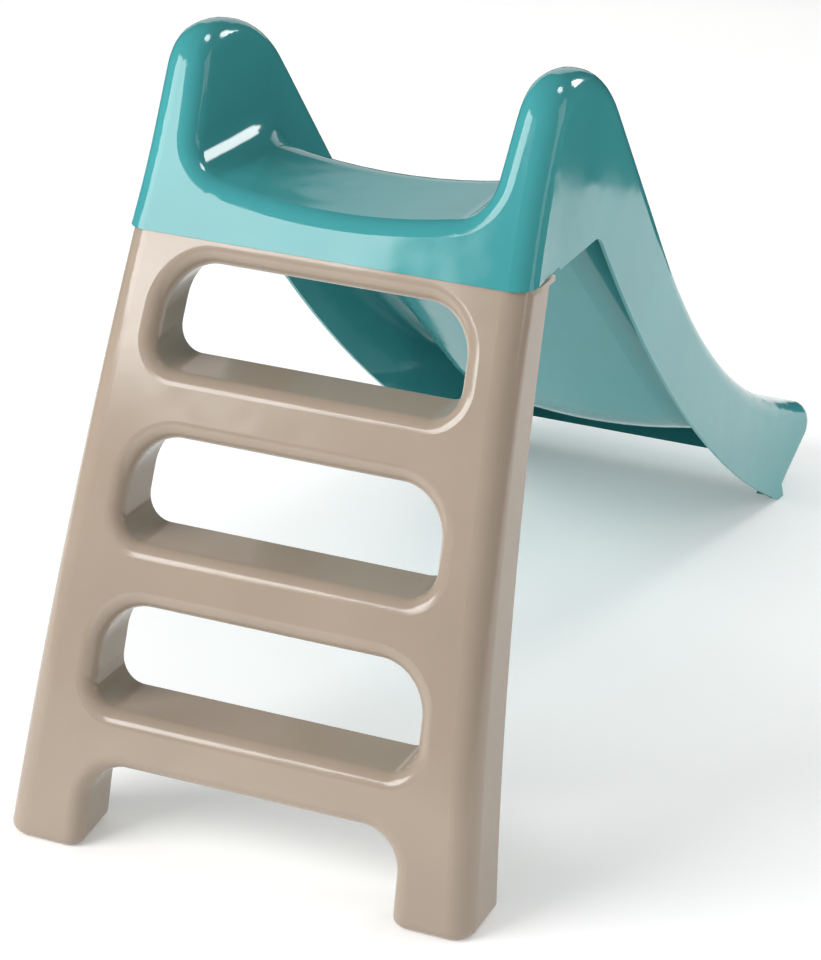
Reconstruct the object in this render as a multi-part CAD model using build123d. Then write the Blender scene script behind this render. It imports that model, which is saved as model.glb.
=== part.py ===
"""Folding toddler slide: a moulded chute with a hood and platform, on a hinged moulded ladder.

All sizes are in millimetres.  X runs across the slide, +Y runs down the chute, +Z is up and the
floor is z = 0.  Shapes are drawn with y measured from the toe line of the ladder, and export()
moves them so that the origin is on the floor under the middle of the slide's length.
"""
from build123d import *
import math
import os

# --- Overall sizes ---------------------------------------------------------------------------
STEP_RISE = 180.0                # from tread to tread, and from the top tread to the platform
FIRST_TREAD = 160.0
PLATFORM_HEIGHT = FIRST_TREAD + 3 * STEP_RISE
SHELL_HALF_WIDTH = 229.5         # outside of the slide shell, half way down the chute
SLIDE_WALL = 4.0
LADDER_WALL = 3.5
OVERCUT = 60.0                   # how far a cutting shape runs past what it cuts
REACH = 2000.0                   # longer than the slide

# --- Slide shell: side outline ---------------------------------------------------------------
PANEL_FOOT = (201.0, 657.0)      # (y, z) of the back panel's lower edge
PANEL_SLOPE = 65.0               # degrees above the horizontal
HOOD_LENGTH = 182.0              # straight length of the back panel
CREST = [                        # a length, or a (radius, turn): left turns are positive
    HOOD_LENGTH,
    (60.0, -63.4),               # top of the hood
    (217.0, -47.9),              # shoulder of the rail
    300.0,                       # straight rail
    (1760.0, 28.2),              # rail sweeping out towards the exit
    (34.0, -130.0),              # rounded exit lip
    100.0,                       # raked back to the floor
]
FRONT_ARCH = (400.0, 33.0, 26.0)         # width, height and corner radius of the arch below the lip
SKIRT_START = (309.0, 652.0)     # (y, z) where the skirt's lower edge starts behind the ladder
SKIRT_HEADING = 0.0
SKIRT_EDGE = [113.8, (36.0, -46.0), (3140.0, 20.5)]
HOOD_NOTCH_Y = 302.0             # the hood's lower edge steps down to the skirt here
HOOD_FLARE = ((265.0, 795.0), 204.4, 888.0)      # where the sides start to spread: (y, z), the
EXIT_FLARE = ((1150.0, 0.0), 0.0, 2700.0)        # heading of the spread, and its radius
RAIL_OUTER_RADIUS = 25.0
RAIL_INNER_RADIUS = 23.0

# --- Slide shell: trough ---------------------------------------------------------------------
CHUTE_SLOPE = 38.3
PLATFORM_END = 385.0
BED_PATH = [
    PLATFORM_END + OVERCUT,          # platform, from ahead of the panel
    (80.0, -CHUTE_SLOPE),            # over the edge
    720.6,                           # straight chute
    (645.0, CHUTE_SLOPE + 5.5),      # run-out
]
LIP_DISTANCE = 1020.0                # from the platform's end to the middle of the exit's lip
TROUGH_SECTION = [(750.0, 10.5), (42.0, 74.5), 144.0]     # half of it, from the middle outwards

# --- Ladder ----------------------------------------------------------------------------------
LADDER_TOP = 656.7
LADDER_FRONT = [(0.0, 0.0), (80.5, 330.5), (203.0, 658.0)]      # (y, z) on the front face
LADDER_SIDE = [(277.5, 0.0), (251.5, 328.0), (230.6, 658.0)]    # (half width, z)
LADDER_DEPTHS = (84.0, 78.0, 72.0)                              # at those three heights
LADDER_CORNER_RADIUS = 27.0
WINDOW_EDGE_RADIUS = 18.0
FOOT_EDGE_RADIUS = 10.0
WINDOW_TOP_RADIUS = 54.0
WINDOW_BOTTOM_RADIUS = 30.0
WINDOWS = [                      # floor, ceiling, half width at the floor and at the ceiling
    (FIRST_TREAD, 272.5, 191.5, 187.0),
    (FIRST_TREAD + STEP_RISE, 450.5, 184.0, 179.5),
    (FIRST_TREAD + 2 * STEP_RISE, 628.0, 177.5, 172.5),
]
ARCH = (93.0, 186.0, 180.0)      # ceiling, half width at the floor and at the ceiling, at the front
ARCH_DRAFT = 5.0                 # degrees that the arch widens towards the back
ARCH_TOP_RADIUS = 42.0
RIB_THICKNESS = 3.0
RIB_X = (-95.0, 0.0, 95.0)       # upright ribs behind the bands between the windows
RIB_HEIGHTS = (220.0, 400.0, 580.0)                 # level ribs behind the side rails
RIB_SETBACK = 6.0
RIM_THICKNESS = 6.0
RIM_OVERHANG = 5.0
RIM_Y = (208.0, 276.0)
RIM_CORNER_RADIUS = 30.0

# --- Hinge between the two shells ------------------------------------------------------------
HINGE = (300.0, 675.0)           # (y, z) of the rod's axis
ROD_RADIUS = 5.0
ROD_HALF_LENGTH = 152.0
RUNNING_CLEARANCE = 0.08         # radial, between the rod and the ladder's lugs
LUG_X = 138.0
LUG_THICKNESS = 10.0
LUG_RADIUS = 13.0
LUG_BASE = (238.0, 272.0)        # y range of a lug where it leaves the ladder's top plate
POST_X = 116.0
POST_SIZE = (24.0, 44.0)         # across and along the slide
SADDLE_SIZE = (24.0, 40.0, 10.8)
SADDLE_GAP = 0.2                 # left between saddle and post, so that the screws clamp the rod
CAP_RADIUS = 9.0
CAP_LENGTH = 8.0
CAP_FLOOR = 2.0
SCREW_SPACING = 13.0             # from the rod's axis, fore and aft
SCREW_RADIUS = 2.1
SCREW_LENGTH = 26.0
PILOT_RADIUS = 1.8
SADDLE_HOLE_RADIUS = 2.5
HEAD_RADIUS = 4.2
HEAD_HEIGHT = 2.6


def right_normal(heading):
    """Unit vector a quarter turn clockwise from a heading in degrees."""
    angle = math.radians(heading - 90.0)
    return Vector(math.cos(angle), math.sin(angle))


def tangent_chain(start, heading, steps, inset=0.0):
    """Lines and arcs that follow each other smoothly, moved to their right by inset."""
    point = Vector(*start) + right_normal(heading) * inset
    edges = []
    for step in steps:
        direction = right_normal(heading + 90.0)
        if isinstance(step, tuple):
            radius, turn = step
            radius += math.copysign(inset, turn)
            edges.append(JernArc(point, direction, radius, turn))
            heading += turn
        else:
            edges.append(Line(point, point + direction * step))
        point = edges[-1] @ 1
    return edges


# --- Slide shell -----------------------------------------------------------------------------

def trough(inset):
    """The space above the platform and the chute, grown by inset."""
    half = tangent_chain((0.0, PLATFORM_HEIGHT), 0.0, TROUGH_SECTION, inset)
    rim = half[-1] @ 1
    lid = Line(rim, Vector(-rim.X, rim.Y))
    outline = Curve() + [Curve() + half, mirror(Curve() + half, about=Plane.YZ), lid]
    section = Plane(origin=(0, -OVERCUT, 0), x_dir=(1, 0, 0), z_dir=(0, -1, 0)) * make_face(outline)
    path = tangent_chain((-OVERCUT, PLATFORM_HEIGHT), 0.0, BED_PATH)
    return sweep(section, path=Wire([Plane.YZ * edge for edge in path]))


def between_sides(inset, start, heading, radius):
    """Everything between the flat sides, which curve outwards from start along the heading."""
    edge = tangent_chain((-REACH, SHELL_HALF_WIDTH), 0.0, [REACH, (radius, 30.0)], inset)
    side = Curve() + edge
    other = mirror(side, about=Plane.XZ)
    face = make_face(side + [other, Line(side @ 0, other @ 0), Line(side @ 1, other @ 1)])
    along, across = right_normal(heading + 90.0), right_normal(heading)
    plane = Plane(
        origin=(0, *start), x_dir=(0, along.X, along.Y), z_dir=(0, across.X, across.Y)
    )
    return extrude(plane * face, REACH, both=True)


def side_block(inset):
    """The slide's side outline pulled across its width; an inset one runs on past its ends."""
    past = OVERCUT if inset else 0.0
    foot = Vector(*PANEL_FOOT) - right_normal(PANEL_SLOPE + 90.0) * past
    crest_steps = [HOOD_LENGTH + past, *CREST[1:-1], CREST[-1] + past]
    crest = tangent_chain(foot, PANEL_SLOPE, crest_steps, inset)
    start, end = crest[0] @ 0, crest[-1] @ 1
    if inset:
        behind, under = SKIRT_START + Vector(OVERCUT, -2 * OVERCUT), (end.X - OVERCUT, end.Y)
        below = [Polyline(start, behind, under, end)]
    else:
        skirt = tangent_chain(SKIRT_START, SKIRT_HEADING, SKIRT_EDGE)
        notch = Polyline(start, (HOOD_NOTCH_Y, start.Y), SKIRT_START)
        below = [notch, *skirt, Line(skirt[-1] @ 1, end)]
    face = Plane.YZ * make_face(Curve() + crest + below)
    block = extrude(face, 2 * SHELL_HALF_WIDTH, both=True)
    sides = between_sides(inset, *HOOD_FLARE) + between_sides(inset, *EXIT_FLARE)
    return block & sides, crest


def crest_edges(solid, crest, inside):
    """The edges that run along the crest outline, on or inside the shell's side faces."""
    found = []
    for edge in solid.edges():
        middle = edge @ 0.5
        across = edge.geom_type == GeomType.LINE and abs(edge.tangent_at(0).X) > 0.99
        on_side = abs(middle.X) > SHELL_HALF_WIDTH - RAIL_OUTER_RADIUS - 1
        if across or on_side == inside:
            continue
        flat = Vertex(middle.Y, middle.Z, 0)
        if min(piece.distance_to(flat) for piece in crest) < 0.3:
            found.append(edge)
    return found


def slide_form(inset):
    """The slide's outside, or the hollow inside it when inset by the wall."""
    block, crest = side_block(inset)
    form = block - trough(inset)
    form = fillet(crest_edges(form, crest, inside=False), RAIL_OUTER_RADIUS - inset)
    return fillet(crest_edges(form, crest, inside=True), RAIL_INNER_RADIUS - inset)


def hinge_posts():
    """Blocks under the platform that the rod lies against, with pilot holes for the screws."""
    y, z = HINGE
    width, depth = POST_SIZE
    height = PLATFORM_HEIGHT + OVERCUT - z
    posts = Part()
    for side in (-1, 1):
        post = Pos(side * POST_X, y, z + height / 2) * Box(width, depth, height)
        for along in (-SCREW_SPACING, SCREW_SPACING):
            post -= Pos(side * POST_X, y + along, z) * Cylinder(PILOT_RADIUS, 2 * SCREW_LENGTH)
        posts += post
    return posts - trough(SLIDE_WALL / 2) - along_x(Cylinder(ROD_RADIUS, 2 * ROD_HALF_LENGTH))


def slide_shell():
    shell = slide_form(0.0) - slide_form(SLIDE_WALL)
    ground = Pos(0, 0, -OVERCUT) * Box(REACH, 2 * REACH, 2 * OVERCUT)
    width, height, radius = FRONT_ARCH
    arch = fillet(Rectangle(width, 2 * height).vertices(), radius)
    front_y = PLATFORM_END + LIP_DISTANCE
    shell -= Pos(0, front_y, 0) * extrude(Plane.XZ * arch, 2 * OVERCUT, both=True)
    return shell - ground + hinge_posts()


# --- Ladder ----------------------------------------------------------------------------------

def ladder_slab(inset, back_shift):
    """The bowed slab of the ladder seen from the side, with its back moved by back_shift."""
    front = Pos(inset, 0) * ThreePointArc(*LADDER_FRONT)
    back_points = [(y + depth + back_shift, z) for (y, z), depth in zip(LADDER_FRONT, LADDER_DEPTHS)]
    back = ThreePointArc(*back_points)
    outline = Curve() + [front, back, Line(front @ 0, back @ 0), Line(front @ 1, back @ 1)]
    return extrude(Plane.YZ * make_face(outline), 2 * SHELL_HALF_WIDTH, both=True)


def rounded_opening(low, high, half_low, half_high, radii, grow):
    """An opening in the ladder's front view, grown all round; radii are at its foot and its top."""
    low, high = low - grow, high + grow
    half_low, half_high = half_low + grow, half_high + grow
    corners = [(-half_low, low), (half_low, low), (half_high, high), (-half_high, high)]
    face = make_face(Polyline(*corners, close=True))
    for end, radius in ((slice(0, 2), radii[0]), (slice(-2, None), radii[1])):
        if radius:
            face = fillet(face.vertices().group_by(Axis.Y)[-1 if end.start else 0], radius + grow)
    return face


def ladder_face(inset):
    """The ladder's front view: bowed tapering sides and three windows."""
    side = Pos(-inset, 0) * ThreePointArc(*LADDER_SIDE)
    other = mirror(side, about=Plane.YZ)
    outline = Curve() + [side, other, Line(side @ 0, other @ 0), Line(side @ 1, other @ 1)]
    height = LADDER_TOP - 2 * inset
    face = make_face(outline) & Pos(0, LADDER_TOP / 2) * Rectangle(4 * SHELL_HALF_WIDTH, height)
    for window in WINDOWS:
        face -= rounded_opening(*window, (WINDOW_BOTTOM_RADIUS, WINDOW_TOP_RADIUS), inset)
    return face


def front_edges(form):
    """Outer edges and window edges of the ladder's front, the foremost face with windows in it."""
    faces = [face for face in form.faces() if len(face.inner_wires()) == len(WINDOWS)]
    front = min(faces, key=lambda face: face.center().Y)
    return front.outer_wire().edges(), [edge for wire in front.inner_wires() for edge in wire.edges()]


def ladder_form(inset, back_shift=0.0):
    """The ladder's outside, or the hollow inside it when inset by the wall."""
    form = extrude(Plane.XZ * ladder_face(inset), -2 * SHELL_HALF_WIDTH)
    arch = Plane.XZ * rounded_opening(-OVERCUT, *ARCH, (0.0, ARCH_TOP_RADIUS), inset)
    form -= extrude(arch, -2 * SHELL_HALF_WIDTH, taper=-ARCH_DRAFT)
    form = form & ladder_slab(inset, back_shift)
    outer, rims = front_edges(form)
    corners = [edge for edge in outer if edge.length > LADDER_TOP / 2 and abs((edge @ 0.5).X) > ARCH[1]]
    form = fillet(corners, LADDER_CORNER_RADIUS - inset)
    outer, rims = front_edges(form)
    arch = [edge for edge in outer if inset + 1 < (edge @ 0.5).Z < ARCH[0] + 10 + inset]
    form = fillet([*arch, *rims], WINDOW_EDGE_RADIUS - inset)
    soles = form.faces().filter_by(Plane.XY).group_by(Axis.Z)[0]
    back = max((edge @ 0.5).Y for edge in soles.edges())
    toes = [edge for edge in soles.edges() if (edge @ 0.5).Y < back - 1]
    return fillet(toes, FOOT_EDGE_RADIUS - inset)


def ladder_ribs():
    """Stiffening ribs in the ladder's hollow back, sunk half a wall into the walls they join."""
    depth, height = 2 * SHELL_HALF_WIDTH, 2 * LADDER_TOP
    plates = [Pos(x, 0, 0) * Box(RIB_THICKNESS, 2 * depth, height) for x in RIB_X]
    plates += [Pos(0, 0, z) * Box(depth, 2 * depth, RIB_THICKNESS) for z in RIB_HEIGHTS]
    return ladder_form(LADDER_WALL / 2, -RIB_SETBACK) & (Part() + plates)


def rim():
    """The plate that closes the ladder's top and carries the hood's lower edge."""
    near, far = RIM_Y
    width = 2 * (LADDER_SIDE[-1][0] + RIM_OVERHANG)
    plate = Box(width, far - near, RIM_THICKNESS)
    plate = fillet(plate.edges().filter_by(Axis.Z).group_by(Axis.Y)[0], RIM_CORNER_RADIUS)
    return Pos(0, (near + far) / 2, LADDER_TOP - RIM_THICKNESS / 2) * plate


def lug():
    """One of the two ears that stand on the rim and turn on the rod."""
    hub = Pos(*HINGE) * Circle(LUG_RADIUS)
    near, far = LUG_BASE
    level = LADDER_TOP - RIM_THICKNESS / 2
    foot = Pos((near + far) / 2, level) * Rectangle(far - near, RIM_THICKNESS / 2)
    bore = Pos(*HINGE) * Circle(ROD_RADIUS + RUNNING_CLEARANCE)
    profile = make_hull([*hub.edges(), *foot.edges()]) - bore
    return extrude(Plane.YZ * profile, LUG_THICKNESS / 2, both=True)


def ladder_shell():
    shell = ladder_form(0.0) - ladder_form(LADDER_WALL, OVERCUT)
    lugs = [Pos(side * LUG_X, 0, 0) * lug() for side in (-1, 1)]
    return shell + ladder_ribs() + rim() + lugs


# --- Hinge hardware --------------------------------------------------------------------------

def along_x(shape):
    """Turn a shape made along Z to lie along X on the hinge axis."""
    return Pos(0, *HINGE) * Rotation(0, 90, 0) * shape


def hinge_rod():
    rod = Cylinder(ROD_RADIUS, 2 * ROD_HALF_LENGTH)
    return along_x(chamfer(rod.edges(), ROD_RADIUS / 5))


def hinge_saddle(side):
    """A block that the screws pull up under the rod, beside a lug."""
    y, z = HINGE
    width, depth, height = SADDLE_SIZE
    block = fillet(Box(width, depth, height).edges().filter_by(Axis.Z), 3.0)
    saddle = Pos(side * POST_X, y, z - SADDLE_GAP - height / 2) * block
    for along in (-SCREW_SPACING, SCREW_SPACING):
        saddle -= Pos(side * POST_X, y + along, z) * Cylinder(SADDLE_HOLE_RADIUS, 4 * height)
    return saddle - along_x(Cylinder(ROD_RADIUS, 2 * ROD_HALF_LENGTH))


def rod_end_cap(side):
    """A push-on cap over the rod's end."""
    cup = fillet(Cylinder(CAP_RADIUS, CAP_LENGTH).edges().sort_by(Axis.Z)[-1], CAP_FLOOR)
    bore = Pos(0, 0, -CAP_FLOOR) * Cylinder(ROD_RADIUS, CAP_LENGTH)
    middle = ROD_HALF_LENGTH + CAP_FLOOR - CAP_LENGTH / 2
    return Pos(side * middle, *HINGE) * Rotation(0, side * 90, 0) * (cup - bore)


def saddle_screws():
    """Pan-head screws, up through the saddles into the posts."""
    seat = HINGE[1] - SADDLE_GAP - SADDLE_SIZE[2]
    screws = []
    for side in (-1, 1):
        for along in (-SCREW_SPACING, SCREW_SPACING):
            shank = Pos(0, 0, SCREW_LENGTH / 2) * Cylinder(SCREW_RADIUS, SCREW_LENGTH)
            head = Pos(0, 0, -HEAD_HEIGHT / 2) * Cylinder(HEAD_RADIUS, HEAD_HEIGHT)
            head = fillet(head.edges().sort_by(Axis.Z)[0], HEAD_HEIGHT / 2)
            screw = chamfer((shank + head).edges().sort_by(Axis.Z)[-1], SCREW_RADIUS / 2)
            slot = Pos(0, 0, -HEAD_HEIGHT) * Box(HEAD_RADIUS, SCREW_RADIUS / 2, HEAD_HEIGHT)
            screw -= slot + Rotation(0, 0, 90) * slot
            screws.append(Pos(side * POST_X, HINGE[0] + along, seat) * screw)
    return Compound(children=screws)


def all_parts():
    parts = {
        "slide_shell": slide_shell(),
        "ladder_shell": ladder_shell(),
        "hinge_rod": hinge_rod(),
        "saddle_screws": saddle_screws(),
    }
    for side, word in ((-1, "left"), (1, "right")):
        parts[f"hinge_saddle_{word}"] = hinge_saddle(side)
        parts[f"rod_end_cap_{word}"] = rod_end_cap(side)
    return parts


def export(parts):
    """Write one file per sub-part, with the origin on the floor under the middle of the length."""
    toe = parts["ladder_shell"].bounding_box().min.Y
    tip = parts["slide_shell"].bounding_box().max.Y
    middle = (toe + tip) / 2
    print(f"middle of the length is at y = {middle:.2f}, the length is {tip - toe:.1f}")
    os.makedirs("parts", exist_ok=True)
    for name, shape in parts.items():
        export_step(Pos(0, -middle, 0) * shape, f"parts/{name}.step")


export(all_parts())
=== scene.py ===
import math

import bpy
from mathutils import Matrix, Vector

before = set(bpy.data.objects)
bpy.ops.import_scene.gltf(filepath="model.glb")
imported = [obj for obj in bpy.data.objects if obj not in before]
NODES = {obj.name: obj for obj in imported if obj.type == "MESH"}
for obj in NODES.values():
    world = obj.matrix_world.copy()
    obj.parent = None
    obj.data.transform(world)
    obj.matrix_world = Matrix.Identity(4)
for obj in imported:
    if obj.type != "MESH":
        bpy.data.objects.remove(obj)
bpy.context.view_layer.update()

# --- Colours (linear) ------------------------------------------------------------------------
TEAL = (0.054, 0.296, 0.308)
TAUPE = (0.355, 0.286, 0.223)
ZINC = (0.60, 0.61, 0.62)
SADDLE_BLACK = (0.022, 0.022, 0.024)
FLOOR_WHITE = (0.90, 0.90, 0.895)
LIGHT_WHITE = (1.0, 1.0, 1.0, 1.0)

# --- Skins of the two mouldings --------------------------------------------------------------
# gloss is the roughness of the clean skin, peel the depth of its fine ripple in metres, and
# shine the strength of its mirror reflection (0.5 is what the IOR alone gives).
PLASTIC_IOR = 1.5
SLIDE_SKIN = {"gloss": 0.09, "peel": 0.000015, "shine": 0.38}
LADDER_SKIN = {"gloss": 0.15, "peel": 0.00002, "shine": 0.5}

# --- Stage -----------------------------------------------------------------------------------
FLOOR_HALF = 30.0
NEAR_FLOOR = (-2.5, -3.5, 2.5, 1.9)      # x and y from and to; the floor beyond isn't reflected
FLOOR_GLOW = 0.20                        # the floor is a lit table, so it stays white in shadow
WORLD_STRENGTH = 0.56
SUN_STRENGTH = 1.1
SUN_ANGLE = math.radians(17.0)
SUN_PLACE = (0.45, 0.42, 0.90)
SUN_TARGET = (0.0, 0.0, 0.0)
SOFTBOXES = [                            # name, place, target, size, power
    ("panel", (-2.72, -3.35, 2.72), (0.0, -0.5, 0.72), (3.1, 2.1), 185.0),
    ("back", (1.35, 2.9, 1.85), (-0.1, -0.3, 0.75), (0.8, 0.8), 20.0),
    ("horizon", (-1.7, 3.3, 1.35), (0.0, -0.3, 0.5), (3.0, 1.7), 12.0),
    ("side", (2.9, 0.4, 1.5), (0.0, 0.0, 0.5), (1.6, 1.6), 14.0),
]

# --- Camera ----------------------------------------------------------------------------------
CAMERA_PLACE = Vector((1.216, -3.358, 1.699))
CAMERA_TURN = math.radians(21.3)         # from +Y towards -X
CAMERA_DIP = math.radians(22.7)
CAMERA_ROLL = math.radians(2.5)
CAMERA_LENS = 134.9
SENSOR_WIDTH = 36.0

# --- Node helpers ----------------------------------------------------------------------------
NOISE_LOW, NOISE_HIGH = 0.3, 0.7         # nearly all of a noise pattern lies between these
MIX_FACTOR, MIX_FIRST, MIX_SECOND = 0, 6, 7      # inputs of a Mix node that is set to colours
MIX_RESULT = 2                                   # and its colour output


def shaded(colour, factor):
    """A colour made lighter or darker, with full alpha."""
    return (*(min(1.0, channel * factor) for channel in colour), 1.0)


class Maker:
    """Builds one material's node tree with short calls."""

    def __init__(self, name):
        self.material = bpy.data.materials.new(name)
        self.material.use_nodes = True
        self.tree = self.material.node_tree
        self.shader = self.tree.nodes["Principled BSDF"]
        self.place = self.tree.nodes.new("ShaderNodeTexCoord").outputs["Object"]

    def fill(self, node, inputs):
        """Link each input that is given a socket, and set the others."""
        for key, value in inputs.items():
            if isinstance(value, bpy.types.NodeSocket):
                self.tree.links.new(value, node.inputs[key])
            else:
                node.inputs[key].default_value = value

    def node(self, kind, inputs, **settings):
        made = self.tree.nodes.new(kind)
        for key, value in settings.items():
            setattr(made, key, value)
        self.fill(made, inputs)
        return made

    def stretched(self, scale):
        """Object coordinates in metres, multiplied axis by axis."""
        made = self.node("ShaderNodeMapping", {"Vector": self.place, "Scale": scale})
        return made.outputs["Vector"]

    def noise(self, scale, detail, roughness=0.5, vector=None):
        inputs = {"Vector": vector or self.place, "Scale": scale, "Detail": detail, "Roughness": roughness}
        return self.node("ShaderNodeTexNoise", inputs).outputs["Fac"]

    def levels(self, pattern, start, end, low=NOISE_LOW, high=NOISE_HIGH):
        """A value that goes from start to end where the pattern goes from low to high."""
        inputs = {"Value": pattern, "From Min": low, "From Max": high, "To Min": start, "To Max": end}
        return self.node("ShaderNodeMapRange", inputs).outputs["Result"]

    def blend(self, factor, first, second):
        inputs = {MIX_FACTOR: factor, MIX_FIRST: first, MIX_SECOND: second}
        return self.node("ShaderNodeMix", inputs, data_type="RGBA").outputs[MIX_RESULT]

    def mottle(self, pattern, colour, dark, light, low=NOISE_LOW, high=NOISE_HIGH):
        """The colour, times dark where the pattern is low and times light where it is high."""
        factor = self.levels(pattern, 0.0, 1.0, low, high)
        return self.blend(factor, shaded(colour, dark), shaded(colour, light))

    def add(self, first, second):
        return self.node("ShaderNodeMath", {0: first, 1: second}, operation="ADD").outputs["Value"]

    def bump(self, height, distance):
        return self.node("ShaderNodeBump", {"Height": height, "Distance": distance}).outputs["Normal"]

    def bump_over(self, normal, height, distance, strength):
        inputs = {"Height": height, "Distance": distance, "Strength": strength, "Normal": normal}
        return self.node("ShaderNodeBump", inputs).outputs["Normal"]

    def finish(self, colour, roughness, normal, others):
        self.fill(self.shader, {"Base Color": colour, "Roughness": roughness, "Normal": normal, **others})
        return self.material


# --- Materials -------------------------------------------------------------------------------

def moulded_plastic(name, colour, gloss, peel, shine):
    """Coloured plastic with a moulded skin: clouds, dark specks, haze, hair scuffs, slow waves."""
    make = Maker(name)
    cloud = make.noise(scale=5.0, detail=4.0)
    tint = make.mottle(cloud, colour, dark=0.955, light=1.04, low=0.35, high=0.65)
    speck = make.levels(make.noise(scale=900.0, detail=2.0), 0.0, 0.12, low=0.72, high=0.80)
    tint = make.blend(speck, tint, shaded(colour, 0.78))
    hairs = make.noise(scale=60.0, detail=2.0, roughness=0.6, vector=make.stretched((22.0, 1.3, 1.3)))
    scuff = make.levels(hairs, 0.0, 0.06, low=0.66, high=0.76)
    haze = make.levels(make.noise(scale=14.0, detail=5.0, roughness=0.6), gloss - 0.03, gloss + 0.05)
    rough = make.add(haze, scuff)
    flow = make.bump(make.noise(scale=9.0, detail=2.0), distance=0.0012)
    ripple = make.noise(scale=520.0, detail=2.0)
    skin = make.bump_over(flow, ripple, distance=peel, strength=0.6)
    return make.finish(tint, rough, skin, {"IOR": PLASTIC_IOR, "Specular IOR Level": shine})


def zinc_plate():
    """Plated steel with a grain along X, the way the rod was drawn."""
    make = Maker("zinc_plate")
    along_x = make.stretched((0.15, 1.0, 1.0))
    grain = make.noise(scale=300.0, detail=4.0, roughness=0.7, vector=along_x)
    tint = make.mottle(grain, ZINC, dark=0.78, light=1.12)
    rough = make.levels(grain, 0.22, 0.42)
    return make.finish(tint, rough, make.bump(grain, distance=0.00004), {"Metallic": 1.0})


def saddle_plastic():
    """Black plastic with a fine spark-eroded grain."""
    make = Maker("saddle_plastic")
    grain = make.noise(scale=1400.0, detail=3.0, roughness=0.6)
    tint = make.mottle(grain, SADDLE_BLACK, dark=0.7, light=1.6)
    rough = make.levels(grain, 0.45, 0.62)
    return make.finish(tint, rough, make.bump(grain, distance=0.00008), {})


def floor_paper():
    """Matt, nearly white paper that glows a little."""
    make = Maker("floor_paper")
    cloud = make.noise(scale=1.5, detail=3.0)
    tint = make.mottle(cloud, FLOOR_WHITE, dark=0.99, light=1.01)
    rough = make.levels(cloud, 0.72, 0.80)
    fibres = make.noise(scale=700.0, detail=2.0)
    glow = {"Emission Color": shaded(FLOOR_WHITE, 1.0), "Emission Strength": FLOOR_GLOW}
    return make.finish(tint, rough, make.bump(fibres, distance=0.00005), glow)


def dress(node, material):
    for slot in NODES[node].material_slots:
        slot.material = material


def dress_all():
    zinc, black = zinc_plate(), saddle_plastic()
    dress("slide_shell", moulded_plastic("slide_plastic", TEAL, **SLIDE_SKIN))
    dress("ladder_shell", moulded_plastic("ladder_plastic", TAUPE, **LADDER_SKIN))
    for node in ("hinge_rod", "saddle_screws"):
        dress(node, zinc)
    for side in ("left", "right"):
        dress(f"hinge_saddle_{side}", black)
        dress(f"rod_end_cap_{side}", black)


# --- Floor, light and camera -----------------------------------------------------------------

def add_floor_piece(name, x0, y0, x1, y1, material):
    mesh = bpy.data.meshes.new(name)
    mesh.from_pydata([(x0, y0, 0), (x1, y0, 0), (x1, y1, 0), (x0, y1, 0)], [], [(0, 1, 2, 3)])
    mesh.materials.append(material)
    floor = bpy.data.objects.new(name, mesh)
    bpy.context.scene.collection.objects.link(floor)
    return floor


def add_floor():
    """A pale floor in five rectangles; only the one in the middle shows in the plastic's gloss."""
    x0, y0, x1, y1 = NEAR_FLOOR
    paper = floor_paper()
    add_floor_piece("floor_near", x0, y0, x1, y1, paper)
    outer = {
        "floor_left": (-FLOOR_HALF, y0, x0, y1),
        "floor_right": (x1, y0, FLOOR_HALF, y1),
        "floor_front": (-FLOOR_HALF, -FLOOR_HALF, FLOOR_HALF, y0),
        "floor_back": (-FLOOR_HALF, y1, FLOOR_HALF, FLOOR_HALF),
    }
    for name, box in outer.items():
        add_floor_piece(name, *box, paper).visible_glossy = False


def add_lamp(data, place, target):
    """A lamp that shines from its place towards the target and isn't seen by the camera."""
    lamp = bpy.data.objects.new(data.name, data)
    lamp.location = place
    lamp.rotation_euler = (Vector(target) - Vector(place)).to_track_quat("-Z", "Y").to_euler()
    lamp.visible_camera = False
    bpy.context.scene.collection.objects.link(lamp)
    return lamp


def add_softbox(name, place, target, size, power):
    data = bpy.data.lights.new(name, "AREA")
    data.shape = "RECTANGLE"
    data.size, data.size_y = size
    data.energy = power
    add_lamp(data, place, target)


def light_studio():
    """Even light that gloss doesn't mirror, a sun that only gloss shows, and the softboxes."""
    world = bpy.data.worlds.new("studio")
    world.use_nodes = True
    background = world.node_tree.nodes["Background"]
    background.inputs["Color"].default_value = LIGHT_WHITE
    background.inputs["Strength"].default_value = WORLD_STRENGTH
    world.cycles_visibility.glossy = False
    bpy.context.scene.world = world
    sun = bpy.data.lights.new("sun", "SUN")
    sun.energy = SUN_STRENGTH
    sun.angle = SUN_ANGLE
    add_lamp(sun, SUN_PLACE, SUN_TARGET).visible_diffuse = False
    for softbox in SOFTBOXES:
        add_softbox(*softbox)


def add_camera():
    forward = Vector((-math.sin(CAMERA_TURN) * math.cos(CAMERA_DIP),
                      math.cos(CAMERA_TURN) * math.cos(CAMERA_DIP),
                      -math.sin(CAMERA_DIP)))
    level = Vector((math.cos(CAMERA_TURN), math.sin(CAMERA_TURN), 0.0))
    upright = level.cross(forward)
    right = math.cos(CAMERA_ROLL) * level + math.sin(CAMERA_ROLL) * upright
    up = math.cos(CAMERA_ROLL) * upright - math.sin(CAMERA_ROLL) * level
    data = bpy.data.cameras.new("camera")
    data.sensor_fit = "HORIZONTAL"
    data.sensor_width = SENSOR_WIDTH
    data.lens = CAMERA_LENS
    camera = bpy.data.objects.new("camera", data)
    turn = Matrix((right, up, -forward)).transposed()
    camera.matrix_world = Matrix.Translation(CAMERA_PLACE) @ turn.to_4x4()
    bpy.context.scene.collection.objects.link(camera)
    bpy.context.scene.camera = camera


dress_all()
add_floor()
light_studio()
add_camera()
bpy.context.scene.view_settings.view_transform = "Standard"
